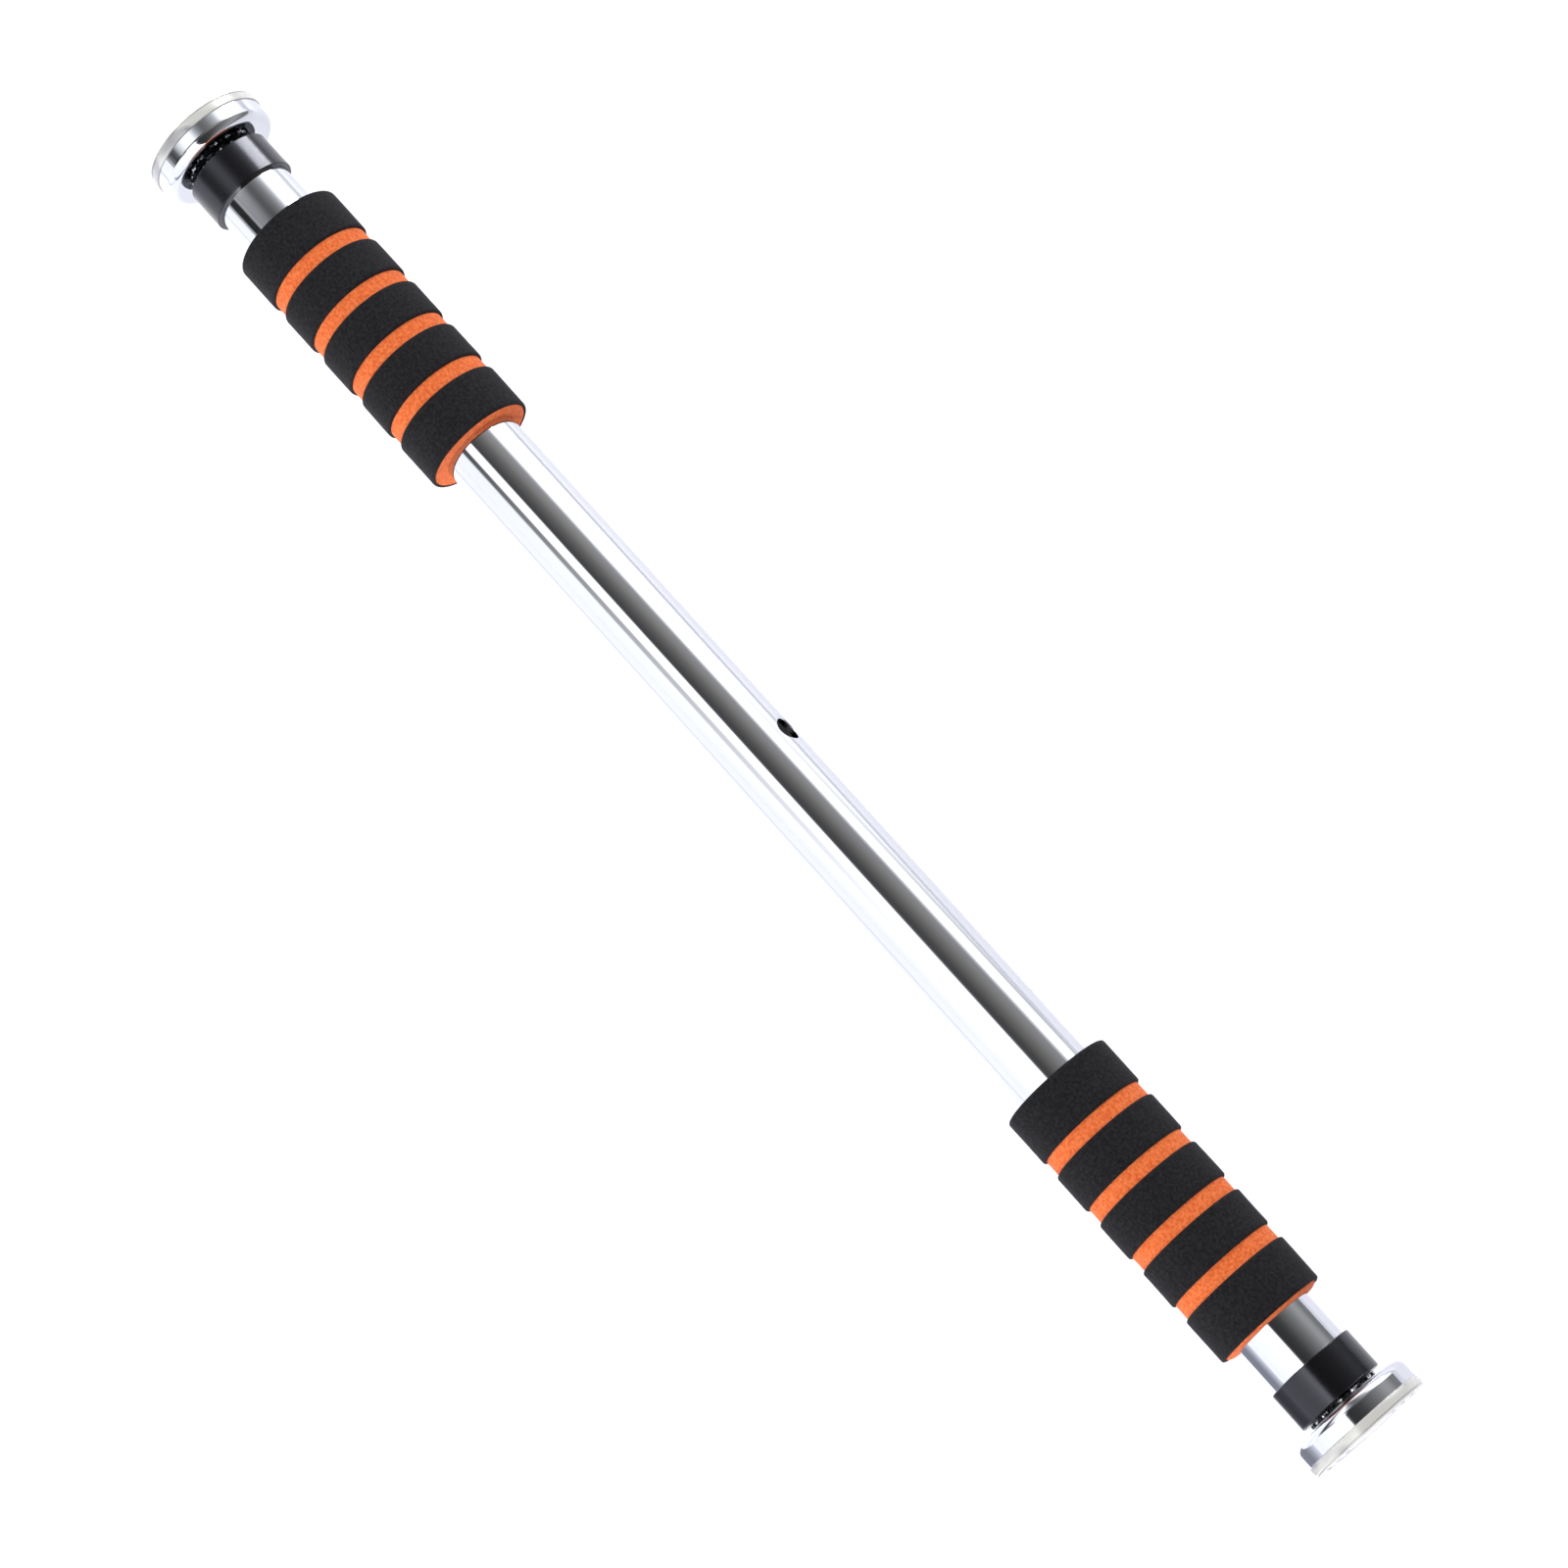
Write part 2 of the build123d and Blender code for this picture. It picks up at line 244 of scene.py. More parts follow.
FAR_LEFT_PANEL = [
    (-110, 1.17, 0.05),
    (-98, 1.22, 0.06),
    (-87, 1.35, 0.02),
    (-70, 1.7, 0.0),
    (-43, 1.8, 0.0),
    (-35, 1.33, 0.03),
    (-27.7, 0.68, 0.04),
    (-20.4, 0.46, 0.03),
    (-13, 0.27, 0.0),
    (-6, 0.205, 0.0),
    (1, 0.19, 0.0),
    (8, 0.34, 0.05),
    (14.8, 0.66, 0.06),
    (21.7, 1.3, 0.03),
    (30, 1.7, 0.0),
    (43, 1.5, 0.0),
    (50, 1.2, 0.02),
    (57.7, 0.75, 0.05),
    (65.3, 0.2, 0.09),
    (73.3, 0.08, 0.09),
    (81.6, 0.22, 0.04),
    (90, 0.75, 0.02),
]
LEFT_PANEL = [
    (-110, 1.3, 0.04),
    (-98, 1.2, 0.06),
    (-86, 1.3, 0.05),
    (-74, 1.7, 0.02),
    (-45, 1.8, 0.0),
    (-38, 1.5, 0.02),
    (-33, 0.9, 0.03),
    (-28.6, 0.6, 0.04),
    (-20.3, 0.36, 0.02),
    (-12.3, 0.24, -0.02),
    (-4.4, 0.18, -0.04),
    (3.5, 0.125, -0.04),
    (11.3, 0.098, 0.0),
    (19.1, 0.115, 0.03),
    (27, 0.15, 0.04),
    (34.9, 0.22, 0.04),
    (43, 0.29, 0.04),
    (51.2, 0.31, 0.03),
    (57, 0.5, 0.03),
    (60, 0.45, 0.02),
    (62, 0.02, 0.03),
    (81, 0.02, 0.03),
    (85, 0.5, 0.03),
    (92, 1.0, 0.03),
]
RIGHT_PANEL = [
    (-118, 1.1, 0.09),
    (-108, 0.9, 0.12),
    (-99, 1.2, 0.07),
    (-96, 1.2, 0.03),
    (-92.5, 0.28, 0.03),
    (-78, 0.25, 0.0),
    (-68, 0.39, 0.0),
    (-58, 0.43, 0.0),
    (-49, 0.36, 0.0),
    (-40.6, 0.275, -0.02),
    (-32, 0.215, -0.02),
    (-24, 0.165, -0.02),
    (-16, 0.125, -0.03),
    (-8.4, 0.085, -0.02),
    (-0.7, 0.062, 0.0),
    (7, 0.052, 0.0),
    (14.6, 0.045, 0.0),
    (21, 0.05, 0.0),
    (24.5, 0.3, 0.0),
    (26.5, 2.2, 0.0),
    (32, 3.3, 0.0),
    (44, 2.1, 0.0),
    (58, 1.5, 0.02),
    (90, 1.45, 0.04),
]

world = bpy.data.worlds.new("white_tent")
bpy.context.scene.world = world
world.use_nodes = True
tent = world.node_tree
tent.nodes.clear()
direction = add_node(tent, "ShaderNodeTexCoord").outputs["Generated"]
along = add_node(tent, "ShaderNodeSeparateXYZ", {"Vector": direction})
towards_user = add_node(
    tent, "ShaderNodeMath", {0: along.outputs["Y"], 1: -1}, operation="MULTIPLY"
).outputs[0]
around = add_node(
    tent, "ShaderNodeMath", {0: towards_user, 1: along.outputs["Z"]}, operation="ARCTAN2"
).outputs[0]
# The slot isn't quite parallel to the bar and widens towards the right: along the bar, an angle drifts by
# drift, and angles on the +Y side shrink by 1 + widening times the square of the lean.
drift, widening = np.radians(30), 8.8
lean = add_node(tent, "ShaderNodeMath", {0: along.outputs["X"], 1: 0.325}).outputs[0]
lean = add_node(tent, "ShaderNodeMath", {0: lean, 1: 0.0}, operation="MAXIMUM").outputs[0]
drifted = add_node(
    tent, "ShaderNodeMath", {0: lean, 1: drift, 2: around}, operation="MULTIPLY_ADD"
).outputs[0]
lean_squared = add_node(tent, "ShaderNodeMath", {0: lean, 1: lean}, operation="MULTIPLY").outputs[0]
shrink = add_node(
    tent, "ShaderNodeMath", {0: lean_squared, 1: widening, 2: 1.0}, operation="MULTIPLY_ADD"
).outputs[0]
far_side = add_node(tent, "ShaderNodeMath", {0: drifted, 1: 0.0}, operation="MINIMUM").outputs[0]
near_side = add_node(tent, "ShaderNodeMath", {0: drifted, 1: 0.0}, operation="MAXIMUM").outputs[0]
far_side = add_node(tent, "ShaderNodeMath", {0: far_side, 1: shrink}, operation="DIVIDE").outputs[0]
around_middle = add_node(tent, "ShaderNodeMath", {0: far_side, 1: near_side}).outputs[0]
# Each panel is laid over the ones before it, and fades in between two leans along the bar.
layers = [
    (around_middle, NEAR_RIGHT_PANEL, -0.325, -0.15),
    (around, LEFT_PANEL, -0.34, -0.355),
    (around, FAR_LEFT_PANEL, -0.39, -0.3925),
    (around, RIGHT_PANEL, -0.11, -0.09),
]
tent_colour = tent_panel(tent, around_middle, MIDDLE_PANEL)
for panel_angle, stops, nothing_yet, in_full in layers:
    fade_in = {"Value": along.outputs["X"], "From Min": nothing_yet, "From Max": in_full}
    share = add_node(tent, "ShaderNodeMapRange", fade_in).outputs["Result"]
    laid_over = {0: share, MIX_A: tent_colour, MIX_B: tent_panel(tent, panel_angle, stops)}
    tent_colour = add_node(tent, "ShaderNodeMix", laid_over, data_type="RGBA").outputs[MIX_RESULT]
lit_by_tent = add_node(
    tent, "ShaderNodeBackground", {"Color": tent_colour, "Strength": tent_light}
).outputs[0]
plain_white = add_node(
    tent, "ShaderNodeBackground", {"Color": linear("#FFFFFF"), "Strength": 1.05}
).outputs[0]
seen_directly = add_node(tent, "ShaderNodeLightPath").outputs["Is Camera Ray"]
both = add_node(tent, "ShaderNodeMixShader", {0: seen_directly, 1: lit_by_tent, 2: plain_white})
add_node(tent, "ShaderNodeOutputWorld", {"Surface": both.outputs[0]})
print("tent:", 1 + len(layers), "panels, the middle one with", len(MIDDLE_PANEL), "stops")

# %% [markdown]
# The floor is plain white paper, far enough below the bar that its shadow melts away. It is lit from beneath,
# more towards the front, so the tube's upper edge shows its back part in pale lavender. The front board of
# the table is a little greyer; the tube's lower side shows it as a faint line. A small grey card lies low
# beside the right end and keeps the chrome's lower edge there from melting into the white; it is hidden from
# the camera so that it can lie close. One long soft box stands beyond the bar's far end: it gives the collar
# there its broad pale streak, and the foam its lighter side.


# %% Lay the floor and set the soft box
def lit_sheet(name, low_corner, high_corner, height, shade, front, back, fade):
    """A flat matt sheet lit from beneath, as on a light table. Corners are (x, y), shade is two hex colours,
    and the glow goes from the front colour to the back colour between the two values of y in fade."""
    (x0, y0), (x1, y1) = low_corner, high_corner
    mesh = bpy.data.meshes.new(name)
    corners = [(x0, y0, height), (x1, y0, height), (x1, y1, height), (x0, y1, height)]
    mesh.from_pydata(corners, [], [(0, 1, 2, 3)])
    sheet = bpy.data.objects.new(name, mesh)
    bpy.context.scene.collection.objects.link(sheet)
    paper, tree, surface = new_material(name)
    fibre = grain(tree, 4 * MM)
    shades = {0: fibre, MIX_A: linear(shade[0]), MIX_B: linear(shade[1])}
    tint = add_node(tree, "ShaderNodeMix", shades, data_type="RGBA").outputs[MIX_RESULT]
    place = add_node(tree, "ShaderNodeTexCoord").outputs["Object"]
    depth = add_node(tree, "ShaderNodeSeparateXYZ", {"Vector": place}).outputs["Y"]
    towards_back = add_node(
        tree, "ShaderNodeMapRange", {"Value": depth, "From Min": fade[0], "From Max": fade[1]}
    ).outputs["Result"]
    glows = {0: towards_back, MIX_A: linear(front), MIX_B: linear(back)}
    glow = add_node(tree, "ShaderNodeMix", glows, data_type="RGBA").outputs[MIX_RESULT]
    matt = add_node(
        tree,
        "ShaderNodeBsdfPrincipled",
        {
            "Base Color": tint,
            "Roughness": 0.95,
            "Specular IOR Level": 0.1,
            "Emission Color": glow,
            "Emission Strength": 1.0,
        },
    )
    tree.links.new(matt.outputs[0], surface)
    mesh.materials.append(paper)
    return sheet


floor_drop = 0.5
board_height = 0.002  # above the paper
card_height = 0.15
PAPER = ("#F7F7F8", "#FCFCFC"), "#C8C8D2", "#64647A", (-0.15, 0.15)
BOARD = ("#E6E6EE", "#EEEEF4"), "#8C8C98", "#8C8C98", (0, 1)
CARD = ("#7E808A", "#888A92"), "#E6E8F4", "#55565E", (-1.2, -0.4)
lit_sheet("matt_white_paper", (-40, -40), (40, 40), -floor_drop, *PAPER)
lit_sheet("pale_front_board", (-3, -0.92), (3, -0.78), board_height - floor_drop, *BOARD)
card = lit_sheet("grey_card", (0.16, -1.3), (0.33, -0.1), card_height - floor_drop, *CARD)
card.visible_camera = False


def soft_box(name, place, aim, width, height, radiance):
    """A flat rectangular light that faces its aim: radiance L and area A take pi L A watts."""
    data = bpy.data.lights.new(name, "AREA")
    data.shape = "RECTANGLE"
    data.size = width
    data.size_y = height
    data.energy = np.pi * radiance * width * height
    box = bpy.data.objects.new(name, data)
    bpy.context.scene.collection.objects.link(box)
    box.location = place
    box.rotation_euler = (Vector(aim) - Vector(place)).to_track_quat("-Z", "Y").to_euler()
    return box


soft_box("far_end_soft_box", (-1.27, 2.05, 1.06), (-tube_half, 0, 0), 0.36, 1.6, 13)
print("floor", floor_drop, "m below the bar")

# %% [markdown]
# ## Helpers for shapes
#
# Almost every piece is turned or moulded round the bar's axis, so each is a profile carried around it. The
# profile is a polyline with rounded corners. All points are worked out at once on a grid of profile points by
# angles, and numpy gives the faces too.


# %% Profiles and grids
def rounded(corners, radii, steps=7):
    """A polyline with rounded corners. At each corner with a radius, the arc's centre lies on the bisector,
    and the arc touches both sides at radius over tan(half the corner's angle) from it. A hold point just
    outside each end of the arc keeps the flats beside it flat under smooth shading. Corners are (station,
    radius)."""
    corners = np.array(corners, float)
    path = []
    for i, (corner, radius) in enumerate(zip(corners, radii)):
        if radius == 0:
            path.append(corner)
            continue
        before = corners[i - 1] - corner
        after = corners[(i + 1) % len(corners)] - corner
        before /= np.linalg.norm(before)
        after /= np.linalg.norm(after)
        half = np.arccos(np.clip(before @ after, -1, 1)) / 2
        reach = radius / np.tan(half)
        middle = before + after
        centre = corner + middle / np.linalg.norm(middle) * radius / np.sin(half)
        first = corner + before * reach - centre
        last = corner + after * reach - centre
        t = np.linspace(0, 1, steps)[:, None]
        span = np.pi - 2 * half
        arc = (np.sin((1 - t) * span) * first + np.sin(t * span) * last) / np.sin(span)
        hold = 0.2 * radius
        path.append(corner + before * (reach + hold))
        path.extend(centre + arc)
        path.append(corner + after * (reach + hold))
    return np.array(path)


def turned(profile, sign, segments, warp=None):
    """Carries a profile of (station, radius) once around the X axis: x = sign * station, y = radius *
    cos(angle), z = radius * sin(angle). warp, if given, takes stations, radii and angles and returns new
    stations and radii."""
    angle = 2 * np.pi * np.arange(segments) / segments
    station, radius, turn = np.broadcast_arrays(profile[:, :1], profile[:, 1:], angle[None])
    if warp is not None:
        station, radius = warp(station, radius, turn)
    return np.stack([sign * station, radius * np.cos(turn), radius * np.sin(turn)], axis=-1)


def grid_faces(rows, columns, loop_rows=False, loop_columns=False):
    """Four-cornered faces of a grid of points numbered row by row, closed on itself where a loop is asked."""
    i = np.arange(rows if loop_rows else rows - 1)[:, None]
    j = np.arange(columns if loop_columns else columns - 1)[None]
    a = i * columns + j
    b = i * columns + (j + 1) % columns
    c = (i + 1) % rows * columns + (j + 1) % columns
    d = (i + 1) % rows * columns + j
    return np.stack([a, b, c, d], axis=-1).reshape(-1, 4)


def put_piece(name, patches, materials, body, nodes):
    """Joins patches of (points, faces) or (points, faces, which material) into one closed mesh, merges the
    points they share, turns the faces outwards, and lets the piece ride on its CAD body in place of its CAD
    nodes."""
    points, faces, finish, count = [], [], [], 0
    for patch_points, patch_faces, *which in patches:
        points.append(patch_points.reshape(-1, 3))
        faces.append(patch_faces + count)
        finish.append(np.full(len(patch_faces), which[0] if which else 0))
        count += len(points[-1])
    mesh = bpy.data.meshes.new(name)
    mesh.from_pydata(np.concatenate(points).tolist(), [], np.concatenate(faces).tolist())
    mesh.polygons.foreach_set("material_index", np.concatenate(finish).astype(np.int32))
    shell = bmesh.new()
    shell.from_mesh(mesh)
    bmesh.ops.remove_doubles(shell, verts=shell.verts, dist=1e-6)
    bmesh.ops.recalc_face_normals(shell, faces=shell.faces)
    open_edges = sum(not edge.is_manifold for edge in shell.edges)
    shell.to_mesh(mesh)
    shell.free()
    mesh.shade_smooth()
    mesh.set_sharp_from_angle(angle=np.radians(40))
    for material in materials:
        mesh.materials.append(material)
    piece = bpy.data.objects.new(name, mesh)
    bpy.context.scene.collection.objects.link(piece)
    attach(piece, body)
    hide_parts(*nodes)
    print(f"{name}: {len(mesh.polygons)} faces, {open_edges} open edges")
    return piece


def closed_ring(profile, sign, segments, warp=None):
    """A patch for a profile that closes on itself, such as the section of a ring."""
    points = turned(profile, sign, segments, warp)
    return points, grid_faces(len(profile), segments, loop_rows=True, loop_columns=True)


def open_turning(profile, sign, segments):
    """A patch for a profile with two ends, each on the axis or on the edge of the next patch."""
    return turned(profile, sign, segments), grid_faces(len(profile), segments, loop_columns=True)


print("points on a rounded corner:", len(rounded([(0, 0), (9, 0), (9, 9)], [0, 1, 0])) - 2)

# %% [markdown]
# ## Bright chrome on the tube and the cups
#
# The tube and the cups are steel with a decorative plate of nickel under chromium. The plate is a mirror, a
# little cooler than the light it reflects. What keeps it from looking drawn is small: the drawn tube under the
# plate is not quite straight along its length, so the edges of reflections wander, and fine polishing marks
# and finger grease soften them here and there. Those marks are well under 0.1 mm wide on the real bar, and
# are drawn about five times coarser so that they show.


# %% Make the chrome
def decorative_chrome(name, drawn_along):
    """Chromium plate: metallic, nearly smooth. drawn_along is how far its marks are pulled along the bar."""
    chrome, tree, surface = new_material(name)
    handling = grain(tree, 30 * MM, 3.0)
    marks = grain(tree, 0.5 * MM, 2.0, (drawn_along, 1, 1))
    dulled = add_node(
        tree,
        "ShaderNodeMapRange",
        {"Value": handling, "From Min": 0.35, "From Max": 0.75, "To Min": 0.035, "To Max": 0.075},
    ).outputs["Result"]
    shades = {0: handling, MIX_A: linear("#DADCE2"), MIX_B: linear("#D3D5DA")}
    tint = add_node(tree, "ShaderNodeMix", shades, data_type="RGBA").outputs[MIX_RESULT]
    waves = grain(tree, 26 * MM, 1.0, (4, 1, 1))
    wavy = add_node(
        tree, "ShaderNodeBump", {"Height": waves, "Distance": 0.06 * MM, "Strength": 0.6}
    ).outputs["Normal"]
    marked = add_node(
        tree,
        "ShaderNodeBump",
        {"Height": marks, "Distance": 0.0012 * MM, "Strength": 0.5, "Normal": wavy},
    ).outputs["Normal"]
    plate = add_node(
        tree,
        "ShaderNodeBsdfPrincipled",
        {"Base Color": tint, "Metallic": 1.0, "Roughness": dulled, "Normal": marked},
    )
    tree.links.new(plate.outputs[0], surface)
    return chrome


def bare_steel():
    """The tube's bore: plate doesn't reach far in, so it is dull grey drawn steel with paler patches."""
    steel, tree, surface = new_material("bare_drawn_steel_bore")
    stain = grain(tree, 12 * MM, 4.0, (4, 1, 1))
    shades = {0: stain, MIX_A: linear("#B9B8B6"), MIX_B: linear("#D2D1CE")}
    tint = add_node(tree, "ShaderNodeMix", shades, data_type="RGBA").outputs[MIX_RESULT]
    rough = add_node(
        tree, "ShaderNodeMapRange", {"Value": stain, "To Min": 0.35, "To Max": 0.6}
    ).outputs["Result"]
    skin = add_node(
        tree, "ShaderNodeBsdfPrincipled", {"Base Color": tint, "Metallic": 0.7, "Roughness": rough}
    )
    tree.links.new(skin.outputs[0], surface)
    return steel


drawn_chrome = decorative_chrome("chromed_drawn_steel_tube", 30)
pressed_chrome = decorative_chrome("chromed_pressed_steel", 1)
bare_bore = bare_steel()
print("chrome:", drawn_chrome.name, "and", pressed_chrome.name)

# %% [markdown]
# ## The tube and its tommy hole
#
# The tube is a plain cylinder except for the round hole through its middle, which takes a rod for turning it.
# A boolean cut would leave long thin faces that show in a mirror finish. Instead the wall is unrolled: around
# each mouth of the hole a square patch runs from the hole's edge out to straight grid lines, and plain grids
# fill the rest. A point on the hole's edge at angle p has x = h cos p, and it sits at the angle around the
# tube whose sine is h sin p over the tube's radius, where h is the hole's radius.

# %% Build the tube
PATCH_STEPS = 36  # grid steps along each side of the square patch
PATCH_RINGS = 10
PLAIN_X_STEPS = 60
patch_half_x = 9 * MM
patch_half_angle = np.radians(36)
PLAIN_ANGLE_STEPS = 54  # keeps every step around the tube at two degrees


def wall_points(x, angle, radius):
    """Points on a wall of the tube: angle is measured around the bar from the tommy hole's direction."""
    turn = angle + tommy_tilt
    x, turn = np.broadcast_arrays(x, turn)
    return np.stack([x, radius * np.sin(turn), radius * np.cos(turn)], axis=-1)


def square_edge():
    """The outline of the patch in (x, angle), point by point, with the same grid lines as its neighbours."""
    t = np.linspace(-1, 1, PATCH_STEPS + 1)[:-1]
    one = np.ones_like(t)
    sides = [(t, -one), (one, t), (-t, one), (-one, -t)]
    outline = np.concatenate([np.stack(side, axis=-1) for side in sides])
    return outline * (patch_half_x, patch_half_angle)


def hole_edge(hole, radius):
    """The edge of a round hole in a wall: (x, angle) at the directions of the outline's points."""
    outline = square_edge()
    p = np.arctan2(outline[:, 1] / patch_half_angle, outline[:, 0] / patch_half_x)
    return np.stack([hole * np.cos(p), np.arcsin(hole * np.sin(p) / radius)], axis=-1)


def hole_patch(radius, middle, hole):
    """Rings of points from the hole's edge to the square patch's outline. Rings crowd towards the hole."""
    outline = square_edge()
    edge = hole_edge(hole, radius)
    t = np.linspace(0, 1, PATCH_RINGS + 1)[:, None, None] ** 1.4
    plan = (1 - t) * edge + t * outline
    points = wall_points(plan[..., 0], plan[..., 1] + middle, radius)
    return points, grid_faces(PATCH_RINGS + 1, len(outline), loop_columns=True)


def tube_wall_patches(radius, hole, finish):
    """The whole wall at one radius: two hole patches, the strips beside them and the two plain strips."""
    near = np.linspace(-patch_half_x, patch_half_x, PATCH_STEPS + 1)
    far = np.linspace(patch_half_x, tube_half, PLAIN_X_STEPS + 1)
    whole = np.concatenate([-far[::-1], near[1:-1], far])
    across = np.linspace(-patch_half_angle, patch_half_angle, PATCH_STEPS + 1)
    plain = np.linspace(patch_half_angle, np.pi - patch_half_angle, PLAIN_ANGLE_STEPS + 1)
    patches = []
    for middle in (0, np.pi):
        patches.append((*hole_patch(radius, middle, hole), finish))
        for end in (-far[::-1], far):
            strip = wall_points(end[:, None], across[None] + middle, radius)
            patches.append((strip, grid_faces(len(end), len(across)), finish))
        strip = wall_points(whole[:, None], plain[None] + middle, radius)
        patches.append((strip, grid_faces(len(whole), len(plain)), finish))
    return patches


def hole_mouth(middle):
    """The hole's side: rings that turn from the outer wall into the hole over the punch's rounded edge, run
    straight down past the inner wall, and come back up outside the small collar that the punch pushed inwards.
    At angle t of the rounding, the hole's radius has shrunk by sin t of the rounding, and the depth is one minus
    cos t of it."""
    t = np.radians(np.linspace(0, 90, 8))
    holes = tommy_radius + mouth_rounding * (1 - np.sin(t))
    depths = tube_radius - mouth_rounding * (1 - np.cos(t))
    lip = tube_bore - punched_lip
    holes = np.append(holes, [tommy_radius] * 3 + [punched_hole] * 2)
    depths = np.append(depths, [tube_bore, lip + 0.2 * MM, lip, lip, tube_bore])
    rings = [hole_edge(hole, depth) for hole, depth in zip(holes, depths)]
    points = [wall_points(ring[:, 0], ring[:, 1] + middle, depth) for ring, depth in zip(rings, depths)]
    return np.stack(points), grid_faces(len(points), points[0].shape[0], loop_columns=True), 0


tube_bore = tube_radius - tube_wall
mouth_rounding = 0.7 * MM
punched_lip = 0.9 * MM  # how far the punch pushed the hole's edge into the bore
punched_hole = tommy_radius + 1.0 * MM
outer_wall = tube_wall_patches(tube_radius, tommy_radius + mouth_rounding, 0)
inner_wall = tube_wall_patches(tube_bore, punched_hole, 1)
rims = [hole_mouth(0), hole_mouth(np.pi)]
for outer, inner in zip(outer_wall, inner_wall):
    outer_points, inner_points = outer[0], inner[0]
    if len(outer_points) == PATCH_RINGS + 1:  # a hole patch
        continue
    for row in (0, -1):  # a strip: close it where it ends at the tube's end
        if np.isclose(abs(outer_points[row, 0, 0]), tube_half):
            rim = np.stack([outer_points[row], inner_points[row]])
            rims.append((rim, grid_faces(2, outer_points.shape[1])))
tube = put_piece(
    "main_tube_drawn",
    outer_wall + inner_wall + rims,
    [drawn_chrome, bare_bore],
    "tube",
    ["main_tube"],
)

# %% [markdown]
# ## Black collars
#
# Each collar is a moulded ABS cap over the tube's end. The mould was spark-eroded to a fine satin, which is
# half glossy: the tent's walls show in it as broad soft streaks. Its edges are rounded so that it draws out of
# the mould, the outer one a little more than the mouth that the tube pushes into.


# %% Make and place the collars
def satin_abs():
    """Black ABS from a satin mould: a low grain that roughens and slightly dimples the surface."""
    abs_plastic, tree, surface = new_material("satin_black_abs_moulding")
    spark = grain(tree, 0.6 * MM, 2.0)
    patches = grain(tree, 12 * MM, 2.0)
    shades = {0: patches, MIX_A: linear("#0F0F11"), MIX_B: linear("#131316")}
    tint = add_node(tree, "ShaderNodeMix", shades, data_type="RGBA").outputs[MIX_RESULT]
    rough = add_node(
        tree,
        "ShaderNodeMapRange",
        {"Value": spark, "From Min": 0.3, "From Max": 0.7, "To Min": 0.15, "To Max": 0.2},
    ).outputs["Result"]
    dimpled = add_node(
        tree, "ShaderNodeBump", {"Height": spark, "Distance": 0.006 * MM, "Strength": 0.3}
    ).outputs["Normal"]
    shell = add_node(
        tree,
        "ShaderNodeBsdfPrincipled",
        {
            "Base Color": tint,
            "Roughness": rough,
            "IOR": 1.53,
            "Specular Tint": linear("#EEF0FF"),
            "Normal": dimpled,
        },
    )
    tree.links.new(shell.outputs[0], surface)
    return abs_plastic


collar_abs = satin_abs()
SEGMENTS = 256
spindle_hole = 8.6 * MM
for side, sign in SIDES.items():
    start, end, radius = station_span(f"{side}_collar")
    corners = [
        (start, tube_radius),
        (tube_half, tube_radius),
        (tube_half, spindle_hole),
        (end, spindle_hole),
        (end, radius),
        (start, radius),
    ]
    radii = np.array([0.2, 0, 0, 0.4, 0.7, 0.45]) * MM
    put_piece(
        f"{side}_collar_moulded",
        [closed_ring(rounded(corners, radii), sign, SEGMENTS)],
        [collar_abs],
        "tube",
        [f"{side}_collar"],
    )

# %% [markdown]
# ## Pressed cups
#
# A cup starts as a flat disc that a press draws into a dish, so its sheet has one thickness all the way and
# its shoulder is a wide even curve. The cut rim is slightly rounded where the pad's lip laps over it.
# The spindle's tenon fills the hole in its floor.

# %% Draw the cups
SHEET = 1.5 * MM
TENON_RADIUS = 5 * MM
SHOULDER = 3.4 * MM
for side, sign in SIDES.items():
    start, end, radius = station_span(f"{side}_cup")
    corners = [
        (start, TENON_RADIUS),
        (start, radius),
        (end, radius),
        (end, radius - SHEET),
        (start + SHEET, radius - SHEET),
        (start + SHEET, TENON_RADIUS),
    ]
    radii = np.array([0.1 * MM, SHOULDER, 0.3 * MM, 0.3 * MM, SHOULDER - SHEET, 0.1 * MM])
    put_piece(
        f"{side}_cup_pressed",
        [closed_ring(rounded(corners, radii, steps=22), sign, SEGMENTS)],
        [pressed_chrome],
        f"{side}_foot",
        [f"{side}_cup"],
    )

# %% [markdown]
# ## Rubber pads
#
# The pads are soft PVC, moulded without black filler, so they are milky: light goes in a few millimetres and
# comes out cream. Beside the face that meets the door frame, the mould's parting leaves a fine groove around
# the lip. The face has raised rings that keep it from sliding. Its middle is flat.


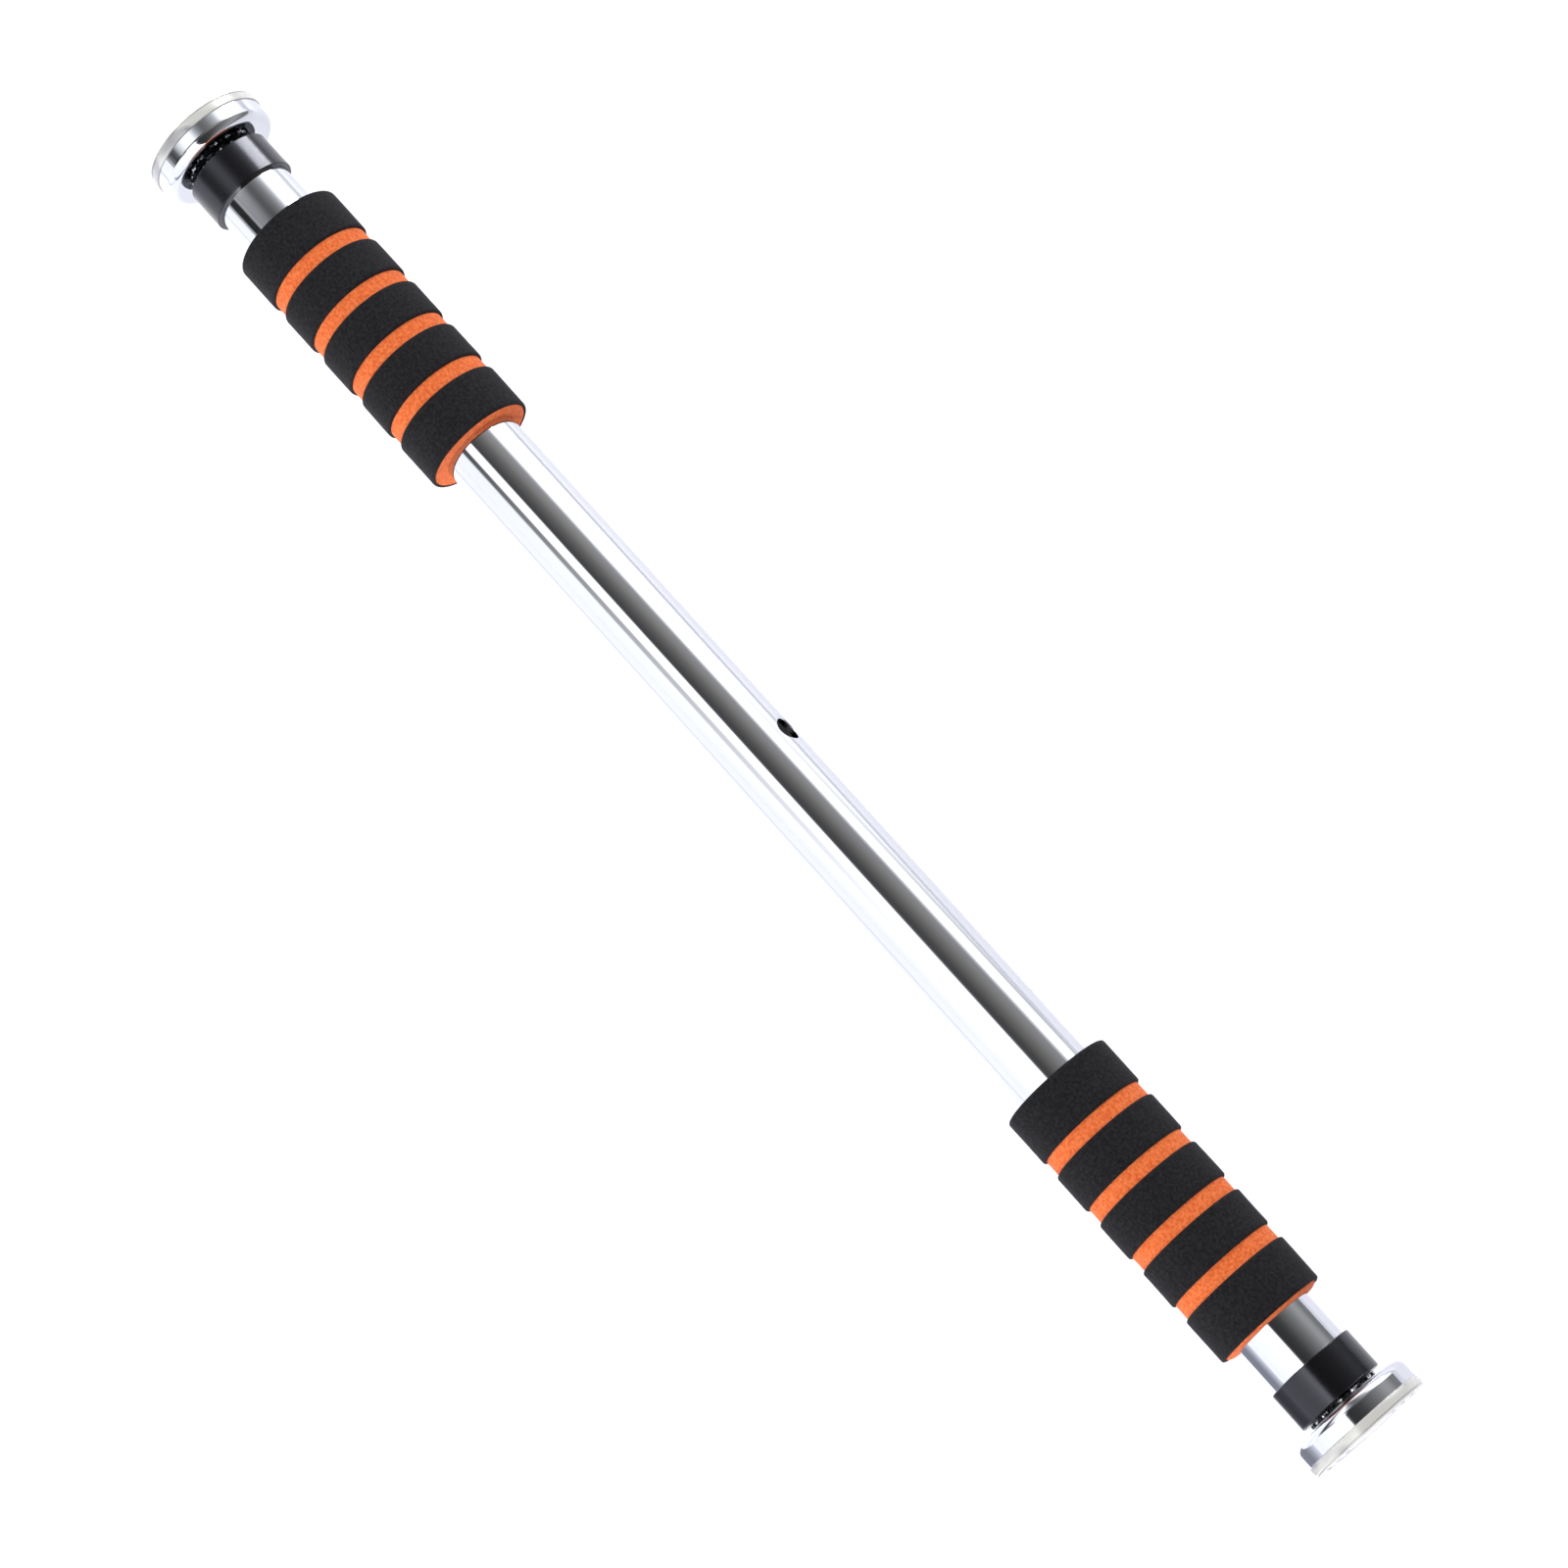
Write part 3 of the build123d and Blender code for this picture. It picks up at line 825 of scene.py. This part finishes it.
# %% Mould the pads
def milky_pvc():
    """Soft PVC without filler: light scatters under a glossy skin. Greyer patches are painted into its colour at
    random: painted reflections of the darker parts of the studio in its glossy side."""
    pvc, tree, surface = new_material("milky_soft_pvc_moulding")
    # Painted reflection: this noise lays greyer patches into the colour at random, standing for dark reflections
    # in the side.
    painted_reflection_noise = grain(tree, 9 * MM, 1.0)
    skin = grain(tree, 0.8 * MM, 2.0)
    painted_reflection_patches = add_node(
        tree, "ShaderNodeMapRange", {"Value": painted_reflection_noise, "From Min": 0.43, "From Max": 0.5}
    ).outputs["Result"]
    shades = {0: painted_reflection_patches, MIX_A: linear("#A6A6AA"), MIX_B: linear("#DAD9D5")}
    tint = add_node(tree, "ShaderNodeMix", shades, data_type="RGBA").outputs[MIX_RESULT]
    rough = add_node(
        tree,
        "ShaderNodeMapRange",
        {"Value": skin, "From Min": 0.3, "From Max": 0.7, "To Min": 0.16, "To Max": 0.24},
    ).outputs["Result"]
    uneven = add_node(
        tree, "ShaderNodeBump", {"Height": skin, "Distance": 0.012 * MM, "Strength": 0.25}
    ).outputs["Normal"]
    moulding = add_node(
        tree,
        "ShaderNodeBsdfPrincipled",
        {
            "Base Color": tint,
            "Roughness": rough,
            "IOR": 1.53,
            "Specular IOR Level": 0.8,
            "Subsurface Weight": 0.2,
            "Subsurface Radius": (1.0, 0.9, 0.75),
            "Subsurface Scale": 1 * MM,
            "Coat Weight": 0.8,
            "Coat Roughness": 0.06,
            "Coat IOR": 1.6,
            "Normal": uneven,
        },
    )
    tree.links.new(moulding.outputs[0], surface)
    return pvc


pad_pvc = milky_pvc()
PAD_FLAT_RADIUS = 9 * MM
PAD_RINGS = 3
RING_GROOVE = 1.6 * MM
RING_DEPTH = 0.8 * MM
POCKET_RADIUS = 12.5 * MM
POCKET_COVER = 4.2 * MM
for side, sign in SIDES.items():
    cup_start, cup_rim, cup_radius = station_span(f"{side}_cup")
    start, face, radius = station_span(f"{side}_pad")
    inner = cup_radius - SHEET
    seam = face - 0.9 * MM
    corners = [
        (face - POCKET_COVER, 0),
        (face - POCKET_COVER, POCKET_RADIUS),
        (start, POCKET_RADIUS),
        (start, inner),
        (cup_rim, inner),
        (cup_rim, radius - 0.1 * MM),
        (cup_rim + 1.2 * MM, radius),
        (seam, radius),
        (seam + 0.05 * MM, radius - 0.6 * MM),
        (seam + 0.45 * MM, radius - 0.6 * MM),
        (seam + 0.5 * MM, radius - 0.25 * MM),
        (face, radius - 0.25 * MM),
    ]
    lip_radii = np.array([0.3, 1.5, 0.3, 0.05, 0.05, 0.12, 0.15]) * MM
    radii = [0, 0, 0, SHOULDER - SHEET, 0, *lip_radii]
    pitch = (radius - 0.9 * MM - PAD_FLAT_RADIUS) / (PAD_RINGS + 0.5)
    for ring in reversed(range(PAD_RINGS)):
        middle = PAD_FLAT_RADIUS + (ring + 0.5) * pitch
        corners += [
            (face, middle + RING_GROOVE / 2),
            (face - RING_DEPTH, middle + RING_GROOVE / 2),
            (face - RING_DEPTH, middle - RING_GROOVE / 2),
            (face, middle - RING_GROOVE / 2),
        ]
        radii += [0.25 * MM, 0.3 * MM, 0.3 * MM, 0.25 * MM]
    corners.append((face, 0))
    radii.append(0)
    put_piece(
        f"{side}_pad_moulded",
        [open_turning(rounded(corners, radii), sign, SEGMENTS)],
        [pad_pvc],
        f"{side}_foot",
        [f"{side}_pad"],
    )

# %% [markdown]
# ## Screw spindles
#
# A spindle carries a 16 mm trapezoidal thread of 4 mm pitch, right-handed at the right end and left-handed at
# the left, so that turning the tube one way drives both feet out. The grid's rows follow the helix, so the
# thread's edges run exactly along grid lines: each row has one place in the thread's profile, and its station
# grows by one pitch per turn. Beyond the thread's ends the stations are held at the end and the radius at the
# root, which closes the grid onto plain rings, and plain turnings finish the rod.


# %% Cut the threads
def rolled_zinc():
    """Zinc plate on a rolled thread: soft grey metal, faintly blue in places, with lines from the roll."""
    zinc, tree, surface = new_material("zinc_plated_rolled_steel")
    film = grain(tree, 14 * MM, 3.0)
    lines = grain(tree, 0.4 * MM, 2.0, (1, 6, 6))
    shades = {0: film, MIX_A: linear("#A9ADB3"), MIX_B: linear("#BFC0BD")}
    tint = add_node(tree, "ShaderNodeMix", shades, data_type="RGBA").outputs[MIX_RESULT]
    rough = add_node(
        tree,
        "ShaderNodeMapRange",
        {"Value": film, "From Min": 0.3, "From Max": 0.7, "To Min": 0.26, "To Max": 0.42},
    ).outputs["Result"]
    lined = add_node(
        tree, "ShaderNodeBump", {"Height": lines, "Distance": 0.01 * MM, "Strength": 0.4}
    ).outputs["Normal"]
    plate = add_node(
        tree,
        "ShaderNodeBsdfPrincipled",
        {"Base Color": tint, "Metallic": 1.0, "Roughness": rough, "Normal": lined},
    )
    tree.links.new(plate.outputs[0], surface)
    return zinc


def thread_patch(start, end, major, root, sign, segments):
    """Rows that climb one pitch per turn from start to end; the radius repeats crest, flank, root, flank."""
    per_pitch = len(THREAD_SHARE)
    turns = int(np.ceil((end - start) / PITCH)) + 2
    last = turns * per_pitch
    share = np.append((np.arange(turns)[:, None] + THREAD_SHARE).ravel(), turns)
    profile = np.append(np.tile(THREAD_HEIGHT, turns), THREAD_HEIGHT[0])
    angle = 2 * np.pi * np.arange(segments) / segments
    climb = PITCH * (share[:, None] - 1 + angle[None] / (2 * np.pi))
    inside = (climb > 0) & (climb < end - start)
    station = start + np.clip(climb, 0, end - start)
    radius = np.where(inside, root + profile[:, None] * (major - root), root)
    turn = np.repeat(angle[None], last + 1, axis=0)
    points = np.stack([sign * station, radius * np.cos(turn), radius * np.sin(turn)], axis=-1)
    faces = grid_faces(last + 1, segments)
    # the seam: the last column of a row meets the first column one whole pitch further on
    row = np.arange(last - per_pitch)
    seam = np.stack(
        [
            row * segments + segments - 1,
            (row + per_pitch) * segments,
            (row + per_pitch + 1) * segments,
            (row + 1) * segments + segments - 1,
        ],
        axis=-1,
    )
    return points, np.concatenate([faces, seam])


PITCH = 4 * MM
THREAD_SEGMENTS = 72
# shares of a pitch where the grid has a row, and the profile's height there: crest, flank, root, flank, crest
THREAD_SHARE = np.array([0, 0.16, 0.18, 0.2, 0.3, 0.32, 0.34, 0.5, 0.66, 0.68, 0.7, 0.8, 0.82, 0.84])
THREAD_HEIGHT = np.array([1, 1, 0.98, 0.86, 0.14, 0.02, 0, 0, 0, 0.02, 0.14, 0.86, 0.98, 1])
THREAD_DEPTH = 1.9 * MM
JOURNAL_RADIUS = 6 * MM
NECK = 3.2 * MM
TENON = 1.3 * MM
GUIDE_SCREW_HOLE = (16 * MM, 3 * MM)  # depth and radius
CUP_SCREW_HOLE = (19.8 * MM, 4 * MM)
spindle_zinc = rolled_zinc()
for side, sign in SIDES.items():
    start, end, radius = station_span(f"{side}_spindle")
    guide_end = station_span(f"{side}_guide")[1]
    back = end - TENON
    thread_start = guide_end + 0.4 * MM
    thread_end = back - NECK
    root = radius - THREAD_DEPTH
    inner_corners = [
        (start + GUIDE_SCREW_HOLE[0], 0),
        (start + GUIDE_SCREW_HOLE[0], GUIDE_SCREW_HOLE[1]),
        (start, GUIDE_SCREW_HOLE[1]),
        (start, JOURNAL_RADIUS),
        (thread_start, JOURNAL_RADIUS),
        (thread_start, root),
    ]
    outer_corners = [
        (thread_end, root),
        (thread_end, radius),
        (back, radius),
        (back, TENON_RADIUS),
        (end, TENON_RADIUS),
        (end, CUP_SCREW_HOLE[1]),
        (end - CUP_SCREW_HOLE[0], CUP_SCREW_HOLE[1]),
        (end - CUP_SCREW_HOLE[0], 0),
    ]
    put_piece(
        f"{side}_spindle_threaded",
        [
            open_turning(rounded(inner_corners, [0, 0, 0.3 * MM, 0.3 * MM, 0, 0]), sign, THREAD_SEGMENTS),
            thread_patch(thread_start, thread_end, radius, root, sign, THREAD_SEGMENTS),
            open_turning(rounded(outer_corners, [0, 0.5 * MM, 0, 0, 0, 0, 0, 0]), sign, THREAD_SEGMENTS),
        ],
        [spindle_zinc],
        f"{side}_foot",
        [f"{side}_spindle"],
    )

# %% [markdown]
# ## Lock rings
#
# A thin round nut on each spindle is turned by hand against the collar to hold the foot. It is pressed from
# steel sheet, so its scallops for the fingers are smooth. Its zinc plate is passivated black. Fingers have
# rubbed the black off in specks, which flash white as the rim turns towards the light.


# %% Scallop the lock rings
def rubbed_black_zinc():
    """Black passivated zinc plate: dark metal, with bright specks where fingers have rubbed the black off."""
    plate, tree, surface = new_material("black_passivated_zinc_plated_steel")
    rubbed = grain(tree, 1.6 * MM, 2.0)
    wear = add_node(
        tree, "ShaderNodeMapRange", {"Value": rubbed, "From Min": 0.53, "From Max": 0.62}
    ).outputs["Result"]
    shades = {0: wear, MIX_A: linear("#242428"), MIX_B: linear("#D8D8DC")}
    tint = add_node(tree, "ShaderNodeMix", shades, data_type="RGBA").outputs[MIX_RESULT]
    scuffed = add_node(
        tree, "ShaderNodeMapRange", {"Value": wear, "To Min": 0.34, "To Max": 0.22}
    ).outputs["Result"]
    metal = add_node(
        tree, "ShaderNodeBsdfPrincipled", {"Base Color": tint, "Metallic": 1.0, "Roughness": scuffed}
    )
    tree.links.new(metal.outputs[0], surface)
    return plate


black_zinc = rubbed_black_zinc()
SCALLOPS = 36
SCALLOP_DEPTH = 0.7 * MM
SCALLOPED_SHARE = 0.2  # of the ring's radius
RING_FIT = 0.5 * MM  # how much closer the ring lies to the spindle than the collar does
for side, sign in SIDES.items():
    start, end, radius = station_span(f"{side}_lock_ring")
    inner = spindle_hole - RING_FIT
    flat = (1 - SCALLOPED_SHARE) * radius

    def scalloped(station, ring_radius, turn):
        """Moves the rim inwards between its high points, more towards the rim."""
        rim = np.clip((ring_radius - flat) / (SCALLOPED_SHARE * radius), 0, 1)
        return station, ring_radius - SCALLOP_DEPTH * rim * (0.5 - 0.5 * np.cos(SCALLOPS * turn))

    corners = [(start, inner), (start, flat), (start, radius), (end, radius), (end, flat), (end, inner)]
    radii = np.array([0, 0, 0.35, 0.35, 0, 0]) * MM
    put_piece(
        f"{side}_lock_ring_scalloped",
        [closed_ring(rounded(corners, radii), sign, SCALLOPS * 10, scalloped)],
        [black_zinc],
        f"{side}_foot",
        [f"{side}_lock_ring"],
    )

# %% [markdown]
# ## Foam grips
#
# A grip is a sleeve of orange nitrile foam inside a thin black one, and both are extruded, cut to length and
# pushed over the tube. A cutter then turns four grooves through the black skin, down to the orange. Foam gives
# under the cutter and under hands, so the grooves' edges wander, the edges are soft, and the surface has long
# shallow dents. The dents only go inwards, so that the foam never grows past its true size. Its cells are
# about a third of a millimetre across; they are drawn at twice that so that they don't blur into a flat grey.


# %% Foam material
def nitrile_foam(name, low, high, sheen, pore):
    """Closed-cell nitrile foam: a matt surface of burst cells with painted shade inside each, and a faint sheen.
    """
    foam, tree, surface = new_material(name)
    cells = grain(tree, pore, 3.0)
    creases = grain(tree, 5 * MM, 3.0, (1, 0.6, 0.6))
    # Painted shade: the colour darkens towards the bottom of each burst cell, where the bump sinks the surface.
    painted_pit_shade_range = {"Value": cells, "From Min": 0.35, "From Max": 0.68}
    depth = add_node(tree, "ShaderNodeMapRange", painted_pit_shade_range).outputs["Result"]
    shades = {0: depth, MIX_A: linear(low), MIX_B: linear(high)}
    tint = add_node(tree, "ShaderNodeMix", shades, data_type="RGBA").outputs[MIX_RESULT]
    creased = add_node(
        tree, "ShaderNodeBump", {"Height": creases, "Distance": 0.22 * MM, "Strength": 0.4}
    ).outputs["Normal"]
    pitted = add_node(
        tree,
        "ShaderNodeBump",
        {"Height": cells, "Distance": 0.16 * MM, "Strength": 0.5, "Normal": creased},
    ).outputs["Normal"]
    body = add_node(
        tree,
        "ShaderNodeBsdfPrincipled",
        {
            "Base Color": tint,
            "Roughness": 0.85,
            "IOR": 1.5,
            "Specular IOR Level": 0.2,
            "Sheen Weight": sheen,
            "Sheen Roughness": 0.5,
            "Normal": pitted,
        },
    )
    tree.links.new(body.outputs[0], surface)
    return foam


black_foam = nitrile_foam("black_closed_cell_nitrile_foam", "#121214", "#26262A", 0.02, 0.6 * MM)
orange_foam = nitrile_foam("orange_closed_cell_nitrile_foam", "#E8652F", "#FF8A4E", 0.05, 0.6 * MM)


def waves(rng, count, longest):
    """A smooth random function of station and angle: a sum of sines with random lengths, phases and whole
    numbers of waves around the bar, so that it joins up with itself. Its values lie between 0 and 1."""
    length = longest * rng.uniform(0.35, 1, count)
    around_bar = rng.integers(0, 5, count)
    phase = rng.uniform(0, 2 * np.pi, count)

    def height(station, turn):
        total = 0
        for wave in range(count):
            angle = 2 * np.pi * station / length[wave] + around_bar[wave] * turn + phase[wave]
            total = total + np.sin(angle)
        return 0.5 + 0.5 * total / count

    return height


print("foam:", black_foam.name, "and", orange_foam.name)

# %% Build the grips
GRIP_BANDS = 5
FOAM_SEGMENTS = 224
DENT = 0.32 * MM
WANDER = 0.12 * MM
ROUNDED_POINTS = 9  # that a rounded corner has: seven on its arc and two beside it
DENTED_POINTS = 24
CORE_EDGES = 0.9 * MM, 3.0 * MM
BAND_EDGES = 1.05 * MM, 1.05 * MM


def sleeve_profile(start, end, inner, outer, first_edge, last_edge):
    """A foam ring's section: rounded outer edges, and extra points along its outside to carry the dents."""
    corners = [(start, inner), (end, inner), (end, outer), (start, outer)]
    ring = rounded(corners, [0, 0, last_edge, first_edge])
    last_of_end = 2 + ROUNDED_POINTS
    middle = np.linspace(end - 1.3 * last_edge, start + 1.3 * first_edge, DENTED_POINTS)[1:-1]
    extra = np.stack([middle, np.full_like(middle, outer)], axis=-1)
    return np.concatenate([ring[:last_of_end], extra, ring[last_of_end:]])


for side, sign in SIDES.items():
    rng = np.random.default_rng(11 + sign)
    core_start, core_end, core_radius = station_span(f"{side}_grip_core")
    dents = waves(rng, 9, 70 * MM)

    def dented(station, radius, turn):
        """Presses the outside inwards by up to the dent's depth, and leaves the bore on the tube."""
        outside = (radius - tube_radius) / (core_radius - tube_radius)
        return station, radius - DENT * np.clip(outside, 0, 1.2) * dents(station, turn)

    profile = sleeve_profile(core_start, core_end, tube_radius, core_radius, *CORE_EDGES)
    core = put_piece(
        f"{side}_grip_core_foam",
        [closed_ring(profile, sign, FOAM_SEGMENTS, dented)],
        [orange_foam],
        "tube",
        [f"{side}_grip_core"],
    )
    for band in range(1, GRIP_BANDS + 1):
        start, end, radius = station_span(f"{side}_grip_band_{band}")
        free_start, free_end = band > 1, band < GRIP_BANDS
        edge_waves = waves(rng, 5, 300 * MM), waves(rng, 5, 300 * MM)

        def cut_and_dented(station, radius, turn):
            """Lets the cut edges wander inwards, most at the edge and least at the other, then dents."""
            share = (station - start) / (end - start)
            first = WANDER * free_start * edge_waves[0](station * 0, turn) * (1 - share) ** 2
            last = WANDER * free_end * edge_waves[1](station * 0, turn) * share**2
            return dented(station + first - last, radius, turn)

        profile = sleeve_profile(start, end, core_radius, radius, *BAND_EDGES)
        piece = put_piece(
            f"{side}_grip_band_{band}_foam",
            [closed_ring(profile, sign, FOAM_SEGMENTS, cut_and_dented)],
            [black_foam],
            "tube",
            [f"{side}_grip_band_{band}"],
        )

# %% [markdown]
# ## Hidden fasteners and guides
#
# The nuts, pins, washers and screws are inside the tube and the cups, and show only through the tommy hole or
# when a foot is taken apart. Their CAD shapes are right as they are, so they only get their finish: the zinc
# of the spindles, and natural nylon for the sliding guides.


# %% Finish the hidden pieces
def natural_nylon():
    """Unfilled nylon: ivory, waxy, with light that goes a little way in."""
    nylon, tree, surface = new_material("natural_nylon_moulding")
    clouds = grain(tree, 6 * MM, 3.0)
    shades = {0: clouds, MIX_A: linear("#DAD5C4"), MIX_B: linear("#EAE6D8")}
    tint = add_node(tree, "ShaderNodeMix", shades, data_type="RGBA").outputs[MIX_RESULT]
    uneven = add_node(
        tree, "ShaderNodeBump", {"Height": clouds, "Distance": 0.05 * MM, "Strength": 0.4}
    ).outputs["Normal"]
    moulding = add_node(
        tree,
        "ShaderNodeBsdfPrincipled",
        {
            "Base Color": tint,
            "Roughness": 0.42,
            "IOR": 1.53,
            "Subsurface Weight": 0.3,
            "Subsurface Radius": (1.0, 0.9, 0.7),
            "Subsurface Scale": 2 * MM,
            "Normal": uneven,
        },
    )
    tree.links.new(moulding.outputs[0], surface)
    return nylon


nylon = natural_nylon()
HIDDEN = {
    "nut": spindle_zinc,
    "nut_pins": spindle_zinc,
    "guide": nylon,
    "guide_washer": spindle_zinc,
    "guide_screw": spindle_zinc,
    "cup_washer": spindle_zinc,
    "cup_screw": spindle_zinc,
}
for side in SIDES:
    for part, finish in HIDDEN.items():
        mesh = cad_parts[f"{side}_{part}"].data
        mesh.materials.clear()
        mesh.materials.append(finish)
print("hidden pieces finished:", 2 * len(HIDDEN))
